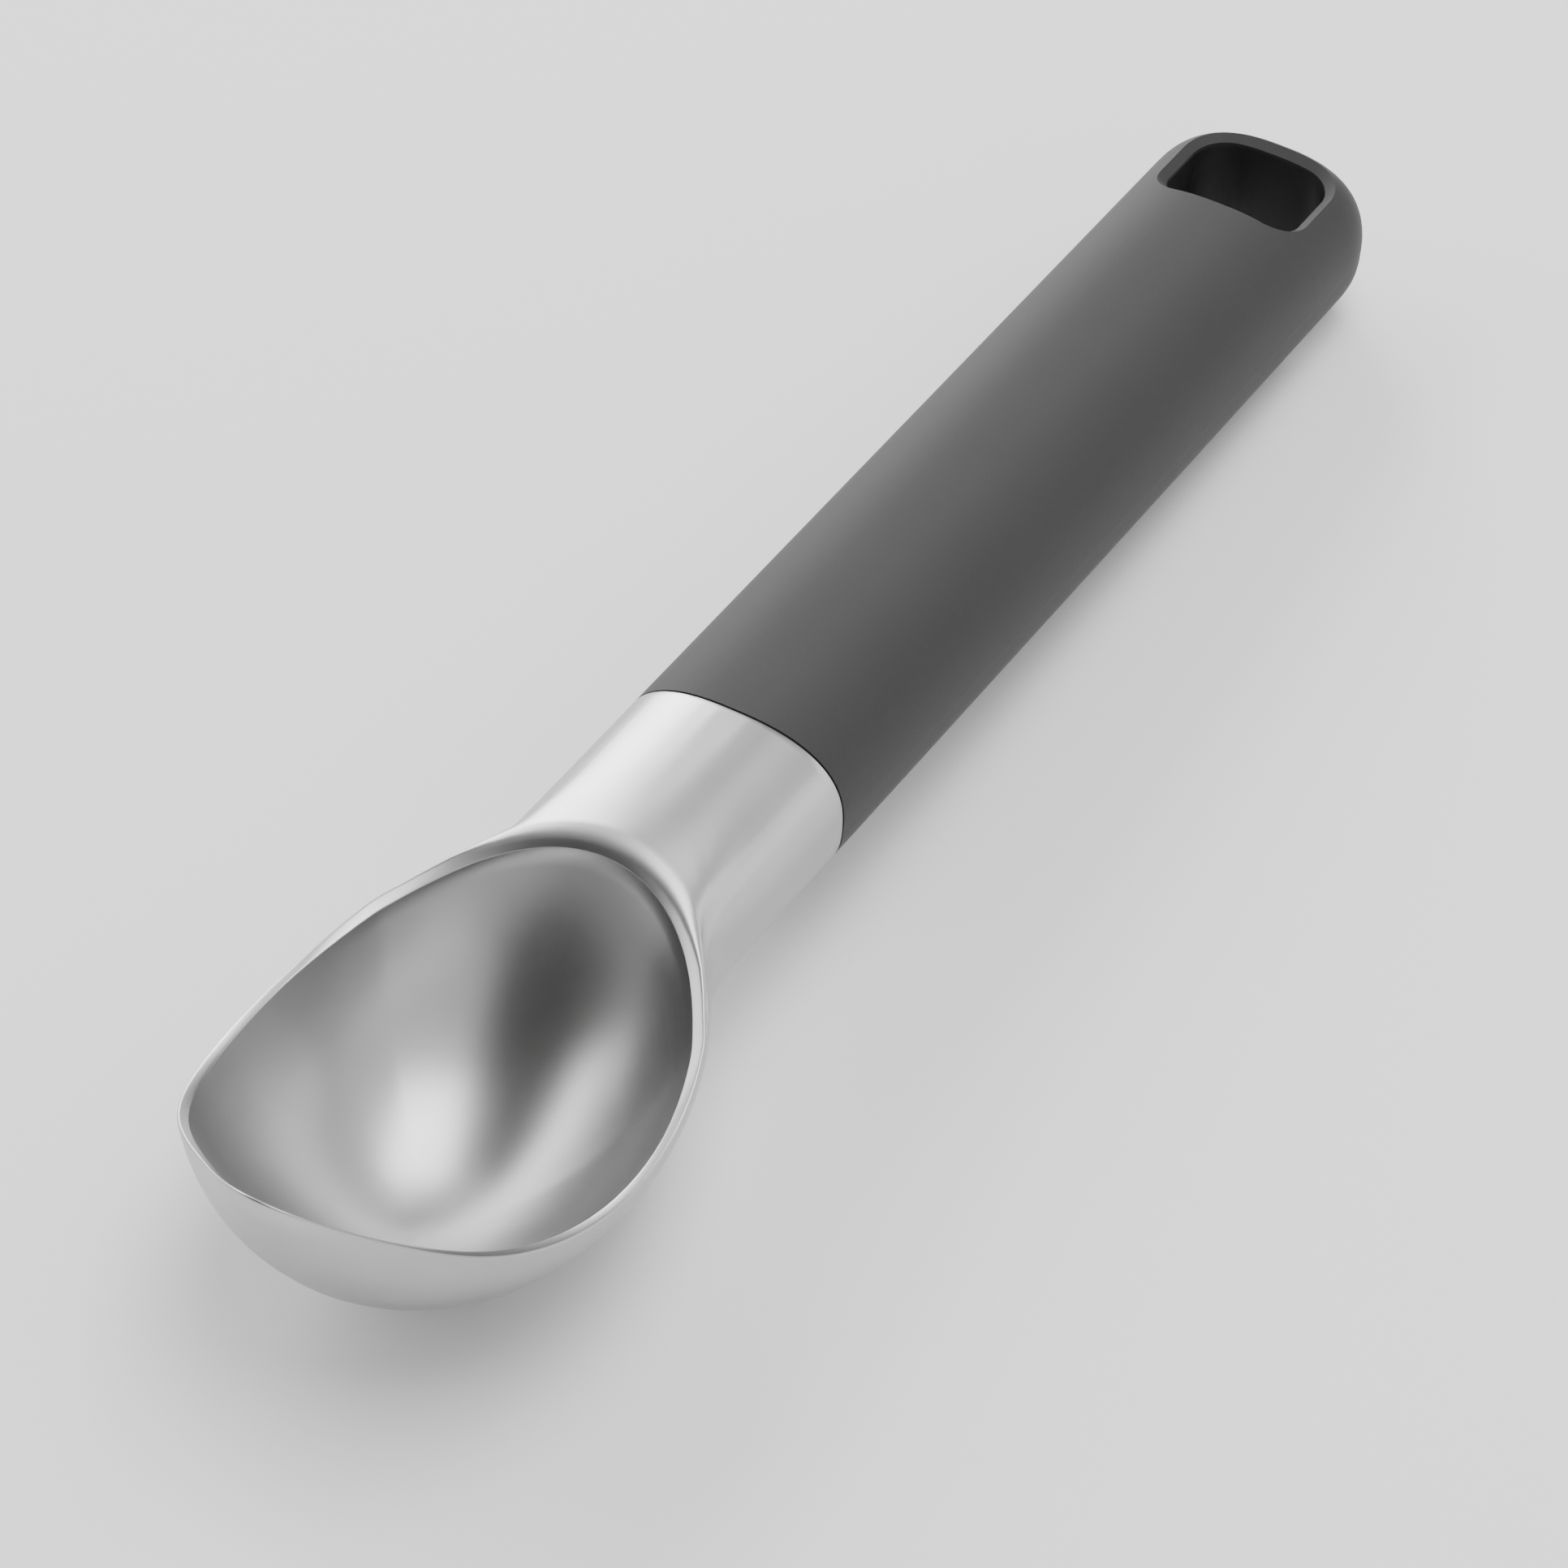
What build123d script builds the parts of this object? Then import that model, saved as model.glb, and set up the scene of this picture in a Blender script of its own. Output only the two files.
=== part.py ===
from build123d import *
import os
from math import cos, radians, sin, sqrt

# Rigid ice cream scoop: a cast metal head held by its tang in a moulded handle.
# All sizes are in millimetres. The handle axis is the tool's own X axis, with the
# joint between metal and grip at zero and the bowl on the positive side.

# Oval section that the handle and the neck share
handle_width = 28.3
handle_thickness = 20.0
oval_power = 2.54
oval_points = 32

# Handle, from the joint to its rounded end
grip_length = 131.8
end_round_plan = 11.3
end_round_side = 9.1
end_power_plan = 2.46
end_power_side = 2.31
skin_thickness = 1.5
joint_gap = 0.2

# Hang hole through the end of the handle
hole_length = 13.4
hole_width = 17.8
hole_end_corner = 4.5
hole_front_corner = 3.0
hole_bevel = 1.3
hole_end_wall = 5.4

# Bowl: an egg turned about its own axis, which rises towards the nose
bowl_centre_ahead = 58.8
bowl_centre_above = 4.95
bowl_rise = 21.7
bowl_radius = 25.4
bowl_nose_length = 37.6
bowl_back_shoulder = 29.0
bowl_back_corner = 33.9
bowl_back_length = 36.0
nose_shoulder_angle = 22.0
shoulder_angle = 45.0
back_corner_angle = 25.0
nose_shoulder_share = 0.851
front_shoulder_share = 0.7686
bowl_wall = 1.5
nose_wall = 1.2
keel_flat_depth = 0.12

# Rim: two arcs in side view that meet at the rim's lowest point
rim_low_ahead = 59.3
rim_low_above = -0.9
rim_front_radius = 48.9
rim_back_radius = 62.8
rim_front_sweep = 52.0
rim_back_sweep = 41.0
rim_outer_round = 0.45
rim_inner_round = 0.2

# Neck that joins the bowl to the grip
neck_length = 38.0
neck_blend = 17.0

# Spigot and tang behind the neck, part of the same casting
spigot_width = 19.0
spigot_thickness = 11.5
spigot_length = 6.0
tang_width = 13.0
tang_thickness = 8.0
tang_corner = 1.5
tang_length = 72.0
tang_end_chamfer = 1.5
socket_clearance = 0.1
socket_end_gap = 0.5

# Gasket round the spigot
seal_width = 1.6
seal_thickness = 1.0
seal_clearance = 0.05

# Cross pin through core and tang
pin_diameter = 4.0
pin_clearance = 0.02
pin_station = 50.0
pin_recess = 0.4
pin_end_chamfer = 0.3

half_width = handle_width / 2
half_thickness = handle_thickness / 2


def polar(reach, angle):
    """Point on the bowl's outline at a reach and an angle from the nose."""
    return (reach * cos(radians(angle)), reach * sin(radians(angle)))


def egg_curve(wall, tip_wall):
    """The egg's half outline from the back pole to the nose, drawn in by a wall."""
    return Spline(
        polar(bowl_back_length - wall, 180),
        polar(bowl_back_corner - wall, 180 - back_corner_angle),
        polar(bowl_back_shoulder - wall, 180 - shoulder_angle),
        polar(bowl_radius - wall, 90),
        polar(bowl_nose_length * front_shoulder_share - wall, shoulder_angle),
        polar(bowl_nose_length * nose_shoulder_share - tip_wall, nose_shoulder_angle),
        polar(bowl_nose_length - tip_wall, 0),
        tangents=[(0, 1), (0, -1)],
        tangent_scalars=[1, 1],
    )


def rim_height(ahead):
    """Height of the rim above the handle axis at a distance ahead of the joint."""
    run = ahead - rim_low_ahead
    radius = rim_front_radius if run > 0 else rim_back_radius
    return rim_low_above + radius - sqrt(max(radius**2 - run**2, 0))


def rounded(share, power):
    """What is left of a half size at a share of its end round."""
    return (1 - share**power) ** (1 / power)


# Side view of what can touch the table: the bowl's keel and the underside of the handle's end
samples = 400
rise_cos = cos(radians(bowl_rise))
rise_sin = sin(radians(bowl_rise))
outer_egg = egg_curve(0, 0)
keel = []
heel = []
for step in range(samples + 1):
    share = step / samples
    spot = outer_egg @ share
    ahead = bowl_centre_ahead + spot.X * rise_cos + spot.Y * rise_sin
    above = bowl_centre_above + spot.X * rise_sin - spot.Y * rise_cos
    if above < rim_height(ahead):
        keel.append((ahead, above))
    ahead = -grip_length + end_round_side * (1 - share)
    heel.append((ahead, -half_thickness * rounded(share, end_power_side)))


def lowest(points, tilt):
    """Lowest height of side-view points when the bowl end is lifted by a tilt in degrees."""
    return min(x * sin(radians(tilt)) + z * cos(radians(tilt)) for x, z in points)


# The scoop lies on a small flat on its keel and on its heel, which sets the tilt of the handle axis
flat_tilt = 0.0
steep_tilt = 30.0
for halving in range(40):
    rest_tilt = (flat_tilt + steep_tilt) / 2
    if lowest(keel, rest_tilt) + keel_flat_depth < lowest(heel, rest_tilt):
        flat_tilt = rest_tilt
    else:
        steep_tilt = rest_tilt
tilt_cos = cos(radians(rest_tilt))
tilt_sin = sin(radians(rest_tilt))
reaches = [x * tilt_cos - z * tilt_sin for x, z in keel + heel]

# Planes: the tool's own plan, its side view, the bowl's side view and stations across
tool = Plane(
    origin=(-(max(reaches) + min(reaches)) / 2, 0, -lowest(heel, rest_tilt)),
    x_dir=(tilt_cos, 0, tilt_sin),
    z_dir=(-tilt_sin, 0, tilt_cos),
)
side = Plane(origin=tool.origin, x_dir=tool.x_dir, z_dir=-tool.y_dir)
bowl_side = Plane(
    origin=side.from_local_coords((bowl_centre_ahead, bowl_centre_above, 0)),
    x_dir=tool.x_dir * rise_cos + tool.z_dir * rise_sin,
    z_dir=-tool.y_dir,
)
bowl_axis = Axis(bowl_side.origin, bowl_side.x_dir)


def across(ahead):
    """Plane square to the handle axis, facing the bowl, at a distance ahead of the joint."""
    return Plane(
        origin=tool.from_local_coords((ahead, 0, 0)), x_dir=tool.y_dir, z_dir=tool.x_dir
    )


def egg_half(wall, tip_wall):
    """Half section of the egg, ready to turn about the bowl's axis."""
    with BuildSketch(bowl_side) as half:
        with BuildLine():
            curve = egg_curve(wall, tip_wall)
            Line(curve @ 1, curve @ 0)
        make_face()
    return half.sketch


def oval(ahead, wide, high):
    """The handle's oval section, given by its half width and half height."""
    outline = []
    for step in range(oval_points):
        across_share = cos(radians(360 * step / oval_points))
        up_share = sin(radians(360 * step / oval_points))
        bulk = (abs(across_share) / wide) ** oval_power + (abs(up_share) / high) ** oval_power
        reach = bulk ** (-1 / oval_power)
        outline.append((reach * across_share, reach * up_share))
    with BuildSketch(across(ahead)) as section:
        with BuildLine():
            add(Edge.make_spline(outline, periodic=True, parameters=range(oval_points + 1)))
        make_face()
    return section.sketch


# The handle is straight up to its end piece, which starts clear of the hang hole's mouth
# and rounds off behind end_start
end_start = grip_length - end_round_plan
end_lead = hole_end_wall + hole_length + 2 * hole_bevel - end_round_plan
lead_steps = 5
end_shares = (0, 0.18, 0.35, 0.52, 0.66, 0.78, 0.86, 0.92, 0.96, 0.985, 0.997)


def handle_end(inset):
    """Sections of the handle's end piece, drawn in by an inset."""
    wide = half_width - inset
    high = half_thickness - inset
    plan_run = end_round_plan - inset
    side_run = end_round_side - inset
    sections = []
    for step in range(lead_steps):
        sections.append(oval(-end_start + end_lead * (1 - step / lead_steps), wide, high))
    for share in end_shares:
        side_share = max(0, 1 - plan_run * (1 - share) / side_run)
        sections.append(
            oval(
                -end_start - plan_run * share,
                wide * rounded(share, end_power_plan),
                high * rounded(side_share, end_power_side),
            )
        )
    return sections


def hang_hole():
    """Outline of the hang hole in plan."""
    with BuildSketch(tool) as outline:
        with Locations((-grip_length + hole_end_wall + hole_length / 2, 0)):
            Rectangle(hole_length, hole_width)
        fillet(outline.vertices().group_by(Axis.X)[0], hole_end_corner)
        fillet(outline.vertices().group_by(Axis.X)[-1], hole_front_corner)
    return outline.sketch


def pin_circle(clearance):
    """Section of the cross pin, widened by a clearance."""
    with BuildSketch(tool) as outline:
        with Locations((-pin_station, 0)):
            Circle(pin_diameter / 2 + clearance)
    return outline.sketch


def tang_section(ahead, clearance):
    """Section of the tang, widened all round by a clearance."""
    with BuildSketch(across(ahead)) as section:
        RectangleRounded(
            tang_width + 2 * clearance, tang_thickness + 2 * clearance, tang_corner + clearance
        )
    return section.sketch


# Scoop head: bowl, neck, spigot and tang in one casting
with BuildPart() as scoop_head:
    revolve(egg_half(0, 0), axis=bowl_axis)
    extrude(oval(0, half_width, half_thickness), amount=neck_length)
    # The rim is cut across by its two arcs, which run on straight past the nose and the neck,
    # before the neck is blended into the bowl below it
    with BuildSketch(side):
        with BuildLine():
            rim_low = (rim_low_ahead, rim_low_above)
            rim_front = JernArc(rim_low, (1, 0), rim_front_radius, rim_front_sweep)
            rim_back = JernArc(rim_low, (-1, 0), rim_back_radius, -rim_back_sweep)
            front_run = rim_front @ 1 + (rim_front % 1) * bowl_nose_length
            back_run = rim_back @ 1 + (rim_back % 1) * handle_thickness
            top = bowl_centre_above + front_run.Y + back_run.Y
            Polyline(
                rim_front @ 1, front_run, (front_run.X, top), (back_run.X, top), back_run, rim_back @ 1
            )
        make_face()
    extrude(amount=2 * bowl_radius, both=True, mode=Mode.SUBTRACT)
    neck = scoop_head.faces().filter_by(GeomType.EXTRUSION)
    egg = scoop_head.faces().filter_by(GeomType.REVOLUTION)
    fillet(neck.edges() & egg.edges(), neck_blend)
    # The inside is hollowed, then the lip is rounded: first its outer edge, then its inner one
    revolve(egg_half(bowl_wall, nose_wall), axis=bowl_axis, mode=Mode.SUBTRACT)
    land = scoop_head.faces().filter_by(GeomType.CYLINDER)
    cavity = scoop_head.faces().filter_by(GeomType.REVOLUTION).sort_by_distance(bowl_side.origin)[0]
    outer_lip = land.edges() - cavity.edges()
    fillet(outer_lip.filter_by(GeomType.LINE, reverse=True), rim_outer_round)
    land = scoop_head.faces().filter_by(GeomType.CYLINDER)
    cavity = scoop_head.faces().filter_by(GeomType.REVOLUTION).sort_by_distance(bowl_side.origin)[0]
    fillet(land.edges() & cavity.edges(), rim_inner_round)
    # The table's plane leaves the resting flat on the keel
    split(bisect_by=Plane.XY, keep=Keep.TOP)
    # Spigot and tang
    extrude(oval(0, spigot_width / 2, spigot_thickness / 2), amount=-spigot_length)
    extrude(tang_section(-spigot_length, 0), amount=-(tang_length - spigot_length))
    tang_tip = scoop_head.faces().filter_by(GeomType.PLANE).sort_by(Axis(tool.origin, tool.x_dir))[0]
    chamfer(tang_tip.edges(), tang_end_chamfer)
    extrude(pin_circle(pin_clearance), amount=tang_thickness, both=True, mode=Mode.SUBTRACT)

# Outer form of the handle core, which is also the inside of the sleeve
with BuildPart() as core_form:
    extrude(
        oval(0, half_width - skin_thickness, half_thickness - skin_thickness),
        amount=end_lead - end_start,
    )
    loft(handle_end(skin_thickness))

# Handle core: hard moulding with the tang's socket and the loop round the hang hole
with BuildPart() as handle_core:
    add(core_form.part)
    extrude(
        oval(
            0,
            spigot_width / 2 + seal_width + seal_clearance,
            spigot_thickness / 2 + seal_width + seal_clearance,
        ),
        amount=-seal_thickness,
        mode=Mode.SUBTRACT,
    )
    extrude(
        oval(0, spigot_width / 2 + socket_clearance, spigot_thickness / 2 + socket_clearance),
        amount=-(spigot_length + socket_clearance),
        mode=Mode.SUBTRACT,
    )
    extrude(
        tang_section(0, socket_clearance),
        amount=-(tang_length + socket_end_gap),
        mode=Mode.SUBTRACT,
    )
    extrude(pin_circle(pin_clearance), amount=handle_thickness, both=True, mode=Mode.SUBTRACT)
    extrude(hang_hole(), amount=handle_thickness, both=True, mode=Mode.SUBTRACT)

# Grip sleeve: soft skin moulded over the core, with a bevelled mouth to the hang hole
with BuildPart() as grip_sleeve:
    extrude(oval(-joint_gap, half_width, half_thickness), amount=end_lead - end_start + joint_gap)
    loft(handle_end(0))
    extrude(hang_hole(), amount=handle_thickness, both=True, mode=Mode.SUBTRACT)
    mouth = grip_sleeve.edges(Select.NEW).filter_by(GeomType.LINE, reverse=True)
    chamfer(mouth, hole_bevel)
    add(core_form.part, mode=Mode.SUBTRACT)

# Seal ring: flat gasket round the spigot, held between the neck and the core
with BuildPart() as seal_ring:
    extrude(
        oval(0, spigot_width / 2 + seal_width, spigot_thickness / 2 + seal_width),
        amount=-seal_thickness,
    )
    extrude(
        oval(0, spigot_width / 2 + seal_clearance, spigot_thickness / 2 + seal_clearance),
        amount=-seal_thickness,
        mode=Mode.SUBTRACT,
    )

# Tang pin: cross pin that locks the tang in the core, covered by the sleeve
with BuildPart() as tang_pin:
    extrude(pin_circle(0), amount=half_thickness - skin_thickness - pin_recess, both=True)
    chamfer(tang_pin.edges().filter_by(GeomType.CIRCLE), pin_end_chamfer)

os.makedirs("parts", exist_ok=True)
pieces = {
    "scoop_head": scoop_head,
    "handle_core": handle_core,
    "grip_sleeve": grip_sleeve,
    "seal_ring": seal_ring,
    "tang_pin": tang_pin,
}
for name, piece in pieces.items():
    piece.part.label = name
    export_step(piece.part, f"parts/{name}.step")
print(f"rest tilt {rest_tilt:.3f} degrees, joint at {tool.origin}")
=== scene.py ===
from math import cos, pi, radians, sin, sqrt, tan

import bmesh
import bpy
from mathutils import Matrix, Vector
from mathutils.bvhtree import BVHTree


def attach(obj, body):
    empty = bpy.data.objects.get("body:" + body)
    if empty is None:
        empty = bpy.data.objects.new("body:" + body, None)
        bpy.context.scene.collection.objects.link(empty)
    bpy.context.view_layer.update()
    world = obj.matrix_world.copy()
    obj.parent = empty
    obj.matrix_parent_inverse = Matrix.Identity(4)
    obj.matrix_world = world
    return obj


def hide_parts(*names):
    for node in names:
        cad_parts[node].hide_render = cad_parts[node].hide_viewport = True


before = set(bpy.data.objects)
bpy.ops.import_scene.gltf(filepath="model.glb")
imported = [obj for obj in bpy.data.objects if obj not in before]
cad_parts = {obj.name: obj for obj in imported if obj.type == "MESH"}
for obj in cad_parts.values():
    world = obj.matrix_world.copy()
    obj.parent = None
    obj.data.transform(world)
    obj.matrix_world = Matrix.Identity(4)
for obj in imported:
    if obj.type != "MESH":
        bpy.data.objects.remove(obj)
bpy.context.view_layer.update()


# Scoop head: bowl, neck and tang in one aluminium casting, tumbled to an even satin
# and left bare. Its neck meets the grip flush, and its tang runs on inside the handle.
# Sizes are millimetres along the handle axis, ahead of the joint between metal and grip.
turns = 160
joint_place = Vector((0.019265, 0.0, 0.018410))
rest_tilt = 3.921
handle_tilt = Matrix.Rotation(-radians(rest_tilt), 4, "Y")
to_row = Matrix.Translation(joint_place) @ handle_tilt @ Matrix.Scale(0.001, 4)
bowl_centre = Vector((58.8, 0.0, 4.95))
bowl_reach = 28.0
rim_low_ahead = 59.3
rim_low_above = -0.9
rim_front_radius = 48.9
rim_back_radius = 62.8

casting = bmesh.new()
casting.from_mesh(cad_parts["scoop_head"].data)
casting.transform(to_row.inverted())
cast_form = BVHTree.FromBMesh(casting)
casting.free()


def rim_line(ahead):
    """Height and slope of the rim at a distance ahead of the joint."""
    run = ahead - rim_low_ahead
    radius = rim_front_radius if run > 0 else rim_back_radius
    depth = sqrt(radius**2 - run**2)
    return rim_low_above + radius - depth, run / depth


def lip_walls(turn, sunk):
    """Where a line sunk under the rim's land meets the inner and the outer wall."""
    way = Vector((cos(turn), sin(turn), 0.0))
    run_up = 6.0
    past_wall = 0.05
    reach = bowl_reach
    for _ in range(6):
        ahead = bowl_centre.x + reach * way.x
        height, slope = rim_line(ahead)
        along = Vector((way.x, way.y, slope * way.x)).normalized()
        start = Vector((ahead, reach * way.y, height - sunk)) - along * run_up
        inner = cast_form.ray_cast(start, along)[0]
        reach = (inner - bowl_centre).xy.length
    outer = inner
    for _ in range(4):
        slope = (rim_line(inner.x)[1] + rim_line(outer.x)[1]) / 2
        along = Vector((way.x, way.y, slope * way.x)).normalized()
        outer = cast_form.ray_cast(inner + along * past_wall, along)[0]
    return inner, outer


def oval_ring(ahead, wide, high, power):
    """Ring of the handle's oval section, from its underside round by +Y."""
    ring = []
    for step in range(turns):
        turn = 2 * pi * step / turns - pi / 2
        bulk = (abs(cos(turn)) / wide) ** power + (abs(sin(turn)) / high) ** power
        reach = bulk ** (-1 / power)
        ring.append(Vector((ahead, reach * cos(turn), reach * sin(turn))))
    return ring


def bend(first, corner, last, share):
    """Point at a share of the curve that leaves first for corner and comes in to last."""
    return first.lerp(corner, share).lerp(corner.lerp(last, share), share)


def ease(value, low, high):
    """Smooth step from 0 at low to 1 at high, which may be the smaller of the two."""
    share = min(max((value - low) / (high - low), 0.0), 1.0)
    return share * share * (3 - 2 * share)


def join_rings(name, rings, inside_from):
    """One closed skin through all rings, capped at both ends, marked inside from one ring on."""
    shell = bmesh.new()
    turn_index = shell.verts.layers.int.new("turn")
    inside = shell.verts.layers.float.new("inside")
    first = bmesh.ops.create_circle(shell, segments=turns, cap_ends=True)["verts"]
    for step, vert in enumerate(first):
        vert[turn_index] = step
        vert.co = rings[0][step]
    edges = list(shell.edges)
    for number, ring in enumerate(rings[1:-1], 1):
        grown = bmesh.ops.extrude_edge_only(shell, edges=edges)["geom"]
        verts = [item for item in grown if isinstance(item, bmesh.types.BMVert)]
        edges = [item for item in grown if isinstance(item, bmesh.types.BMEdge)]
        for vert in verts:
            vert.co = ring[vert[turn_index]]
            vert[inside] = 1.0 if number >= inside_from else 0.0
        fresh = set(verts)
        edges = [edge for edge in edges if edge.verts[0] in fresh and edge.verts[1] in fresh]
    floor = bmesh.ops.create_circle(shell, segments=turns, cap_ends=True)["verts"]
    for step, vert in enumerate(floor):
        vert.co = rings[-1][step]
    floor_edges = {edge for vert in floor for edge in vert.link_edges}
    bmesh.ops.bridge_loops(shell, edges=edges + list(floor_edges))
    bmesh.ops.recalc_face_normals(shell, faces=shell.faces)
    for face in shell.faces:
        face.smooth = True
    shell.transform(to_row)
    mesh = bpy.data.meshes.new(name)
    shell.to_mesh(mesh)
    shell.free()
    piece = bpy.data.objects.new(name, mesh)
    bpy.context.scene.collection.objects.link(piece)
    return piece


# The lip, followed round the bowl from the nose: outer edge, inner edge and rounded corner.
# Over the neck the lip is wider, leans in to the bowl and has its corner rounded more, and
# the bowl's edge is drawn back there to a rounder point. Away from the neck it is thinner.
lip_round = 0.45
inner_round = 0.15
sample_depth = 0.6
crest_round = 1.45
crest_set_in = 0.2
crest_round_turn = radians(5.0)
side_round_turn = radians(45.0)
crest_land = 2.9
crest_land_turn = radians(15.0)
side_land = 1.55
side_land_turn = radians(43.0)
own_land_turn = radians(54.0)
lean = 0.32
lean_full_turn = radians(45.0)
lean_end_turn = radians(75.0)
point_depth = 0.52
point_waves = 5.6
thinning = 0.3
thick_turn = radians(45.0)
thin_turn = radians(80.0)
roll_starts = []
roll_corners = []
roll_ends = []
lip_ends = []
inner_edges = []
wall_starts = []
outer_shifts = []
for step in range(turns):
    turn = 2 * pi * step / turns
    from_crest = abs(turn - pi)
    inner_near, outer_near = lip_walls(turn, sample_depth)
    inner_far, outer_far = lip_walls(turn, 2 * sample_depth)
    cast_outer = 2 * outer_near - outer_far
    cast_inner = 2 * inner_near - inner_far
    outwards = (cast_outer - cast_inner).normalized()
    rise = (outer_near - outer_far).normalized()
    sink = (inner_far - inner_near).normalized()

    wave = cos(point_waves * from_crest) if point_waves * from_crest < 1.5 * pi else 0.0
    thinner = thinning * ease(from_crest, thick_turn, thin_turn)
    inner_edge = cast_inner + outwards * (point_depth * wave + thinner)
    land_width = side_land + (crest_land - side_land) * ease(from_crest, side_land_turn, crest_land_turn)
    near_crest = ease(from_crest, own_land_turn, side_land_turn)
    outer_edge = cast_outer.lerp(inner_edge + outwards * land_width, near_crest)
    outer_edge += rise * land_width * lean * ease(from_crest, lean_end_turn, lean_full_turn)

    land = outer_edge - inner_edge
    fullness = ease(from_crest, side_round_turn, crest_round_turn)
    corner_round = lip_round + (crest_round - lip_round) * fullness
    roll_corner = outer_edge - land * crest_set_in * fullness
    flat = roll_corner - inner_edge
    roll_starts.append(outer_edge - rise * corner_round)
    roll_corners.append(roll_corner)
    roll_ends.append(roll_corner - flat.normalized() * min(corner_round, flat.length / 2))
    lip_ends.append(inner_edge + land.normalized() * inner_round)
    inner_edges.append(inner_edge)
    wall_starts.append(inner_edge + sink * inner_round)
    outer_shifts.append(outer_edge - cast_outer)

# Rings from the tang's tip to the joint, then over the neck and the outside of the bowl
neck_half_width = 14.15
neck_half_height = 10.0
neck_power = 2.54
tang_power = 8.0
rings = [
    oval_ring(-72.0, 5.0, 2.5, tang_power),
    oval_ring(-70.5, 6.5, 4.0, tang_power),
    oval_ring(-6.2, 6.5, 4.0, tang_power),
    oval_ring(-6.0, 6.6, 4.1, tang_power),
    oval_ring(-6.0, 9.3, 5.55, neck_power),
    oval_ring(-5.8, 9.5, 5.75, neck_power),
    oval_ring(-0.2, 9.5, 5.75, neck_power),
    oval_ring(0.0, 9.7, 5.95, neck_power),
    oval_ring(0.0, neck_half_width - 0.15, neck_half_height - 0.15, neck_power),
    oval_ring(0.04, neck_half_width - 0.04, neck_half_height - 0.04, neck_power),
    oval_ring(0.15, neck_half_width, neck_half_height, neck_power),
]
outer_steps = 46
joint_ring = rings[-1]
far_out = 100.0
belly_middle = -12.5
belly_swing = 22.5
belly_spread = 0.8
for ring_step in range(1, outer_steps):
    share = ring_step / outer_steps
    heart = Vector((joint_ring[0].x, 0.0, 0.0)).lerp(bowl_centre, share)
    fade = share**4
    ring = []
    for start, end, shift in zip(joint_ring, roll_starts, outer_shifts):
        belly = belly_middle + belly_swing * start.z / neck_half_height
        corner = Vector((end.x / 2, belly_spread * end.y, belly))
        guess = bend(start, corner, end - shift, share)
        away = (guess - heart).normalized()
        ring.append(cast_form.ray_cast(heart + away * far_out, -away)[0] + shift * fade)
    rings.append(ring)

# Rings over the rounded lip and down the inside of the bowl to its floor
lip_steps = 12
for ring_step in range(lip_steps + 1):
    share = ring_step / lip_steps
    rings.append([bend(*curve, share) for curve in zip(roll_starts, roll_corners, roll_ends)])
corner_steps = 3
for ring_step in range(corner_steps + 1):
    share = ring_step / corner_steps
    rings.append([bend(*curve, share) for curve in zip(lip_ends, inner_edges, wall_starts)])

# The inside is shallower than the outside, most of all towards the neck, where the casting is
# thick. Each ring is a smaller copy of the lip, drawn in to the pole.
inner_steps = 40
pole_ahead = 61.0
bowl_depth = 18.0
wall_steepness = 0.9
wall_base = sqrt(1 - wall_steepness**2)
for ring_step in range(1, inner_steps):
    size = 1 - ring_step / inner_steps
    fall = (sqrt(1 - (wall_steepness * size) ** 2) - wall_base) / (1 - wall_base)
    ring = []
    for start in wall_starts:
        ahead = pole_ahead + (start.x - pole_ahead) * size
        lip_drop = (start.z - rim_line(start.x)[0]) * size
        ring.append(Vector((ahead, start.y * size, rim_line(ahead)[0] + lip_drop - bowl_depth * fall)))
    rings.append(ring)

head = join_rings("cast_head", rings, len(rings) - inner_steps)
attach(head, "root")
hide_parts("scoop_head")


class Wire:
    """A shader socket that joins in Python sums: each sum adds a Math node."""

    def __init__(self, tree, socket):
        self.tree = tree
        self.socket = socket

    def node(self, kind, output, settings, inputs):
        """Adds a node, sets it up, feeds its sockets and gives back one output."""
        made = self.tree.nodes.new(kind)
        stops = settings.pop("stops", None)
        for name, value in settings.items():
            setattr(made, name, value)
        if stops:
            ramp = made.color_ramp
            while len(ramp.elements) < len(stops):
                ramp.elements.new(1.0)
            for element, (place, shade) in zip(ramp.elements, stops):
                element.position = place
                element.color = (shade, shade, shade, 1.0)
        for name, value in inputs.items():
            if isinstance(value, Wire):
                self.tree.links.new(value.socket, made.inputs[name])
            else:
                made.inputs[name].default_value = value
        return Wire(self.tree, made.outputs[output])

    def noise(self, scale, detail):
        """Even noise over the surface, of a scale per metre."""
        return self.node("ShaderNodeTexNoise", "Fac", {}, {"Vector": self, "Scale": scale, "Detail": detail})

    def shades(self, dark, light):
        """Grey that goes from dark to light with this value."""
        stops = ((0.3, dark), (0.7, light))
        return self.node("ShaderNodeValToRGB", "Color", {"stops": stops}, {"Fac": self})

    def eased(self, low, high):
        """Smooth step from 0 at low to 1 at high."""
        limits = {"Value": self, "From Min": low, "From Max": high}
        return self.node("ShaderNodeMapRange", "Result", {"interpolation_type": "SMOOTHSTEP"}, limits)

    def bump(self, strength, distance):
        """Normal of a surface with this value as its height."""
        heights = {"Strength": strength, "Distance": distance, "Height": self}
        return self.node("ShaderNodeBump", "Normal", {}, heights)

    def sum(self, operation, first, second):
        return self.node("ShaderNodeMath", 0, {"operation": operation}, {0: first, 1: second})

    def __add__(self, other):
        return self.sum("ADD", self, other)

    def __radd__(self, other):
        return self.sum("ADD", other, self)

    def __sub__(self, other):
        return self.sum("SUBTRACT", self, other)

    def __mul__(self, other):
        return self.sum("MULTIPLY", self, other)


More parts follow.
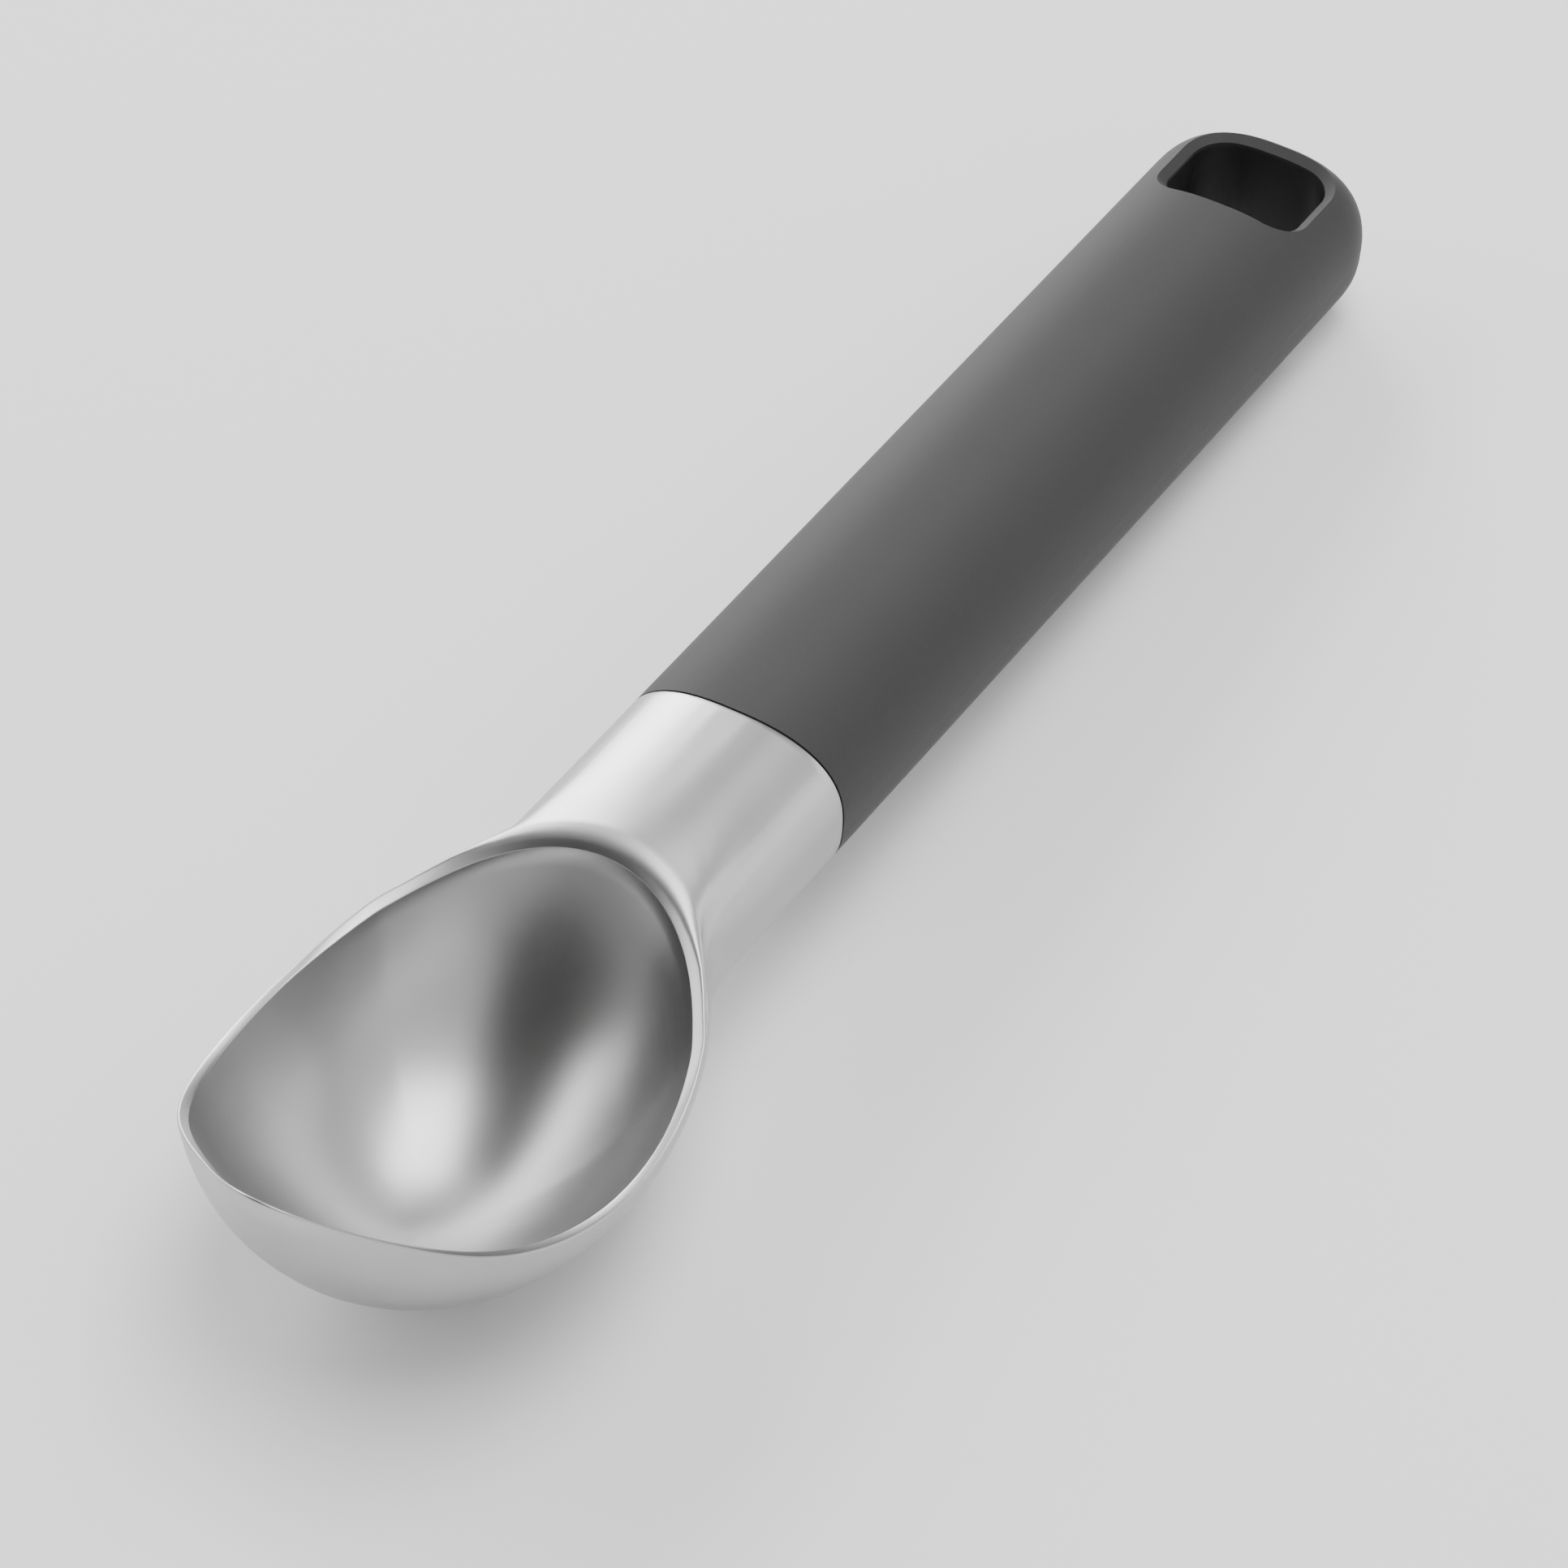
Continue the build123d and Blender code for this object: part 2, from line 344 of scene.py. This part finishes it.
def new_finish(name, fixed):
    """A material with the fixed values of its surface set, and its Object coordinates."""
    material = bpy.data.materials.new(name)
    material.use_nodes = True
    tree = material.node_tree
    surface = tree.nodes["Principled BSDF"]
    for socket, value in fixed.items():
        surface.inputs[socket].default_value = value
    place = Wire(tree, tree.nodes.new("ShaderNodeTexCoord").outputs["Object"])
    return material, surface, place


def feed(surface, socket, wire):
    """Links a varying value to a socket of a surface."""
    wire.tree.links.new(wire.socket, surface.inputs[socket])


# The metal: even satin grain all over, and faint polishing lines inside the bowl that run
# along the lip on its +Y side, where it was dressed last.
edge_tint = (0.9, 0.9, 0.9, 1.0)
lines_across = 1100.0
lines_along = 12.0
dressed_depths = (0.012, 0.003)
dressed_sides = (0.008, 0.016)
rim_curve = 1000 / (rim_front_radius + rim_back_radius)
satin, surface, place = new_finish("satin_cast_metal", {"Metallic": 1.0, "Specular Tint": edge_tint})
grain = place.noise(2600.0, 2.0)
cloud = place.noise(90.0, 3.0)
joint_frame = place.node(
    "ShaderNodeMapping",
    "Vector",
    {"vector_type": "TEXTURE"},
    {"Vector": place, "Location": joint_place, "Rotation": (0.0, -radians(rest_tilt), 0.0)},
)
ahead = joint_frame.node("ShaderNodeSeparateXYZ", "X", {}, {"Vector": joint_frame})
height = joint_frame.node("ShaderNodeSeparateXYZ", "Z", {}, {"Vector": joint_frame})
run = ahead - rim_low_ahead / 1000
below_rim = run * run * rim_curve + rim_low_above / 1000 - height
stroke = place.node(
    "ShaderNodeCombineXYZ", "Vector", {}, {"X": below_rim * lines_across, "Y": ahead * lines_along}
)
inside = place.node("ShaderNodeAttribute", "Fac", {"attribute_name": "inside"}, {})
across = place.node("ShaderNodeSeparateXYZ", "Y", {}, {"Vector": place})
dressed = below_rim.eased(*dressed_depths) * across.eased(*dressed_sides) * inside
lines = stroke.noise(1.0, 3.0) * dressed
relief = grain * 0.015 + lines * 2.2
feed(surface, "Base Color", cloud.shades(0.43, 0.47))
feed(surface, "Roughness", 0.30 + cloud * 0.03 + grain * 0.03 + lines * 0.03)
feed(surface, "Normal", relief.bump(0.1, 0.0002))
head.data.materials.append(satin)


# Seal ring: flat black rubber gasket, squeezed between the neck and the core when the
# tang is pressed home. Out of sight but for the dark hairline at the joint.
def dress(node, material):
    """Gives a node of the frame its finish."""
    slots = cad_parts[node].data.materials
    slots.clear()
    slots.append(material)


gasket_black = (0.012, 0.012, 0.013, 1.0)
gasket, surface, place = new_finish("gasket_rubber", {"Base Color": gasket_black})
feed(surface, "Roughness", 0.6 + place.noise(900.0, 2.0) * 0.2)
dress("seal_ring", gasket)


# Tang pin: drawn steel rod pressed across core and tang, covered by the grip's skin.
# Its drawing lines run along it, upright in the scoop.
drawn, surface, place = new_finish("drawn_steel", {"Metallic": 1.0})
stretched = place.node("ShaderNodeMapping", "Vector", {}, {"Vector": place, "Scale": (3000.0, 3000.0, 60.0)})
draw = stretched.noise(1.0, 2.0)
feed(surface, "Base Color", draw.shades(0.46, 0.54))
feed(surface, "Roughness", 0.24 + draw * 0.14)
dress("tang_pin", drawn)


# Handle core: hard near-black moulding that carries the tang. It shows only inside the
# hang hole, where the skin stops at the foot of the bevel.
core_black = (0.010, 0.010, 0.0105, 1.0)
core, surface, place = new_finish("hard_core", {"Base Color": core_black})
spark = place.noise(1500.0, 3.0)
feed(surface, "Roughness", 0.42 + spark * 0.16)
feed(surface, "Normal", spark.bump(0.12, 0.0001))
dress("handle_core", core)


# Grip sleeve: charcoal soft-touch skin, moulded over the core in one shot and left matte.
# Its nap is fine and even, and its tone hardly varies.
skin, surface, place = new_finish("soft_touch_skin", {"Sheen Weight": 0.03, "Sheen Roughness": 0.5})
nap = place.noise(4200.0, 2.0)
feed(surface, "Base Color", place.noise(60.0, 2.0).shades(0.015, 0.017))
feed(surface, "Roughness", 0.64 + nap * 0.10)
feed(surface, "Normal", nap.bump(0.10, 0.0001))
dress("grip_sleeve", skin)


# Table: white paper laid flat under the scoop, wider than any view of it. It stages the
# scoop and is no piece of it.
floor_half = 4.0
paper_white = (0.9, 0.9, 0.9, 1.0)
sheet = bmesh.new()
bmesh.ops.create_grid(sheet, x_segments=1, y_segments=1, size=floor_half)
table_mesh = bpy.data.meshes.new("table")
sheet.to_mesh(table_mesh)
sheet.free()
table = bpy.data.objects.new("table", table_mesh)
bpy.context.scene.collection.objects.link(table)
paper = new_finish("white_paper", {"Base Color": paper_white, "Roughness": 0.8})[0]
table_mesh.materials.append(paper)


# Light: soft boxes round the table, all as far from the scoop and turned to it. Each is as
# wide and high as the scoop sees it, in degrees. The side of the camera stays dim.
studio_middle = Vector((0.02, 0.0, 0.02))
studio_radius = 1.6


def direction(azimuth, elevation):
    """Unit vector at an azimuth from +X and an elevation, in degrees."""
    around = radians(azimuth)
    above = radians(elevation)
    return Vector((cos(above) * cos(around), cos(above) * sin(around), sin(above)))


def soft_box(name, azimuth, elevation, wide, high, glow):
    """A flat soft box in a direction, of an even glow."""
    away = direction(azimuth, elevation)
    lamp = bpy.data.lights.new(name, "AREA")
    lamp.shape = "RECTANGLE"
    lamp.size = 2 * studio_radius * tan(radians(wide / 2))
    lamp.size_y = 2 * studio_radius * tan(radians(high / 2))
    lamp.energy = glow * pi * lamp.size * lamp.size_y
    box = bpy.data.objects.new(name, lamp)
    facing = away.to_track_quat("Z", "Y").to_matrix().to_4x4()
    box.matrix_world = Matrix.Translation(studio_middle + away * studio_radius) @ facing
    bpy.context.scene.collection.objects.link(box)


soft_box("left_back_strip", 225.0, 16.0, 20.0, 32.0, 10.4)
soft_box("left_panel", 255.0, 32.0, 80.0, 32.0, 2.0)
soft_box("left_panel_top", 255.0, 40.0, 80.0, 16.0, 2.8)
soft_box("back_panel", 211.0, 58.0, 40.0, 20.0, 1.1)
soft_box("right_scrim", 105.0, 56.0, 120.0, 64.0, 1.0)
soft_box("top_panel", 120.0, 80.0, 45.0, 32.0, 6.1)
soft_box("right_back_card", 140.0, 12.0, 50.0, 24.0, 2.2)
soft_box("front_fill", 60.0, 16.0, 120.0, 32.0, 0.6)
soft_box("front_left_fill", 330.0, 8.0, 60.0, 16.0, 0.5)
room_glow = 0.02
room = bpy.data.worlds.new("room")
room.use_nodes = True
room.node_tree.nodes["Background"].inputs["Color"].default_value = (1.0, 1.0, 1.0, 1.0)
room.node_tree.nodes["Background"].inputs["Strength"].default_value = room_glow
bpy.context.scene.world = room


# Camera: level but for a slight roll, above and in front of the bowl's nose, looking down
# at the scoop through a long lens.
view_azimuth = 31.07
view_elevation = 45.18
view_roll = 0.17
view_distance = 0.7518
view_aim = Vector((0.01668, 0.00499, 0.01798))
lens_pixels = 8344.9
image_pixels = 1932
sensor_width = 36.0
view_from = direction(view_azimuth, view_elevation)
eye_data = bpy.data.cameras.new("eye")
eye_data.sensor_width = sensor_width
eye_data.lens = lens_pixels / image_pixels * sensor_width
eye = bpy.data.objects.new("eye", eye_data)
facing = view_from.to_track_quat("Z", "Y").to_matrix() @ Matrix.Rotation(radians(view_roll), 3, "Z")
eye.matrix_world = Matrix.Translation(view_aim + view_from * view_distance) @ facing.to_4x4()
bpy.context.scene.collection.objects.link(eye)
bpy.context.scene.camera = eye
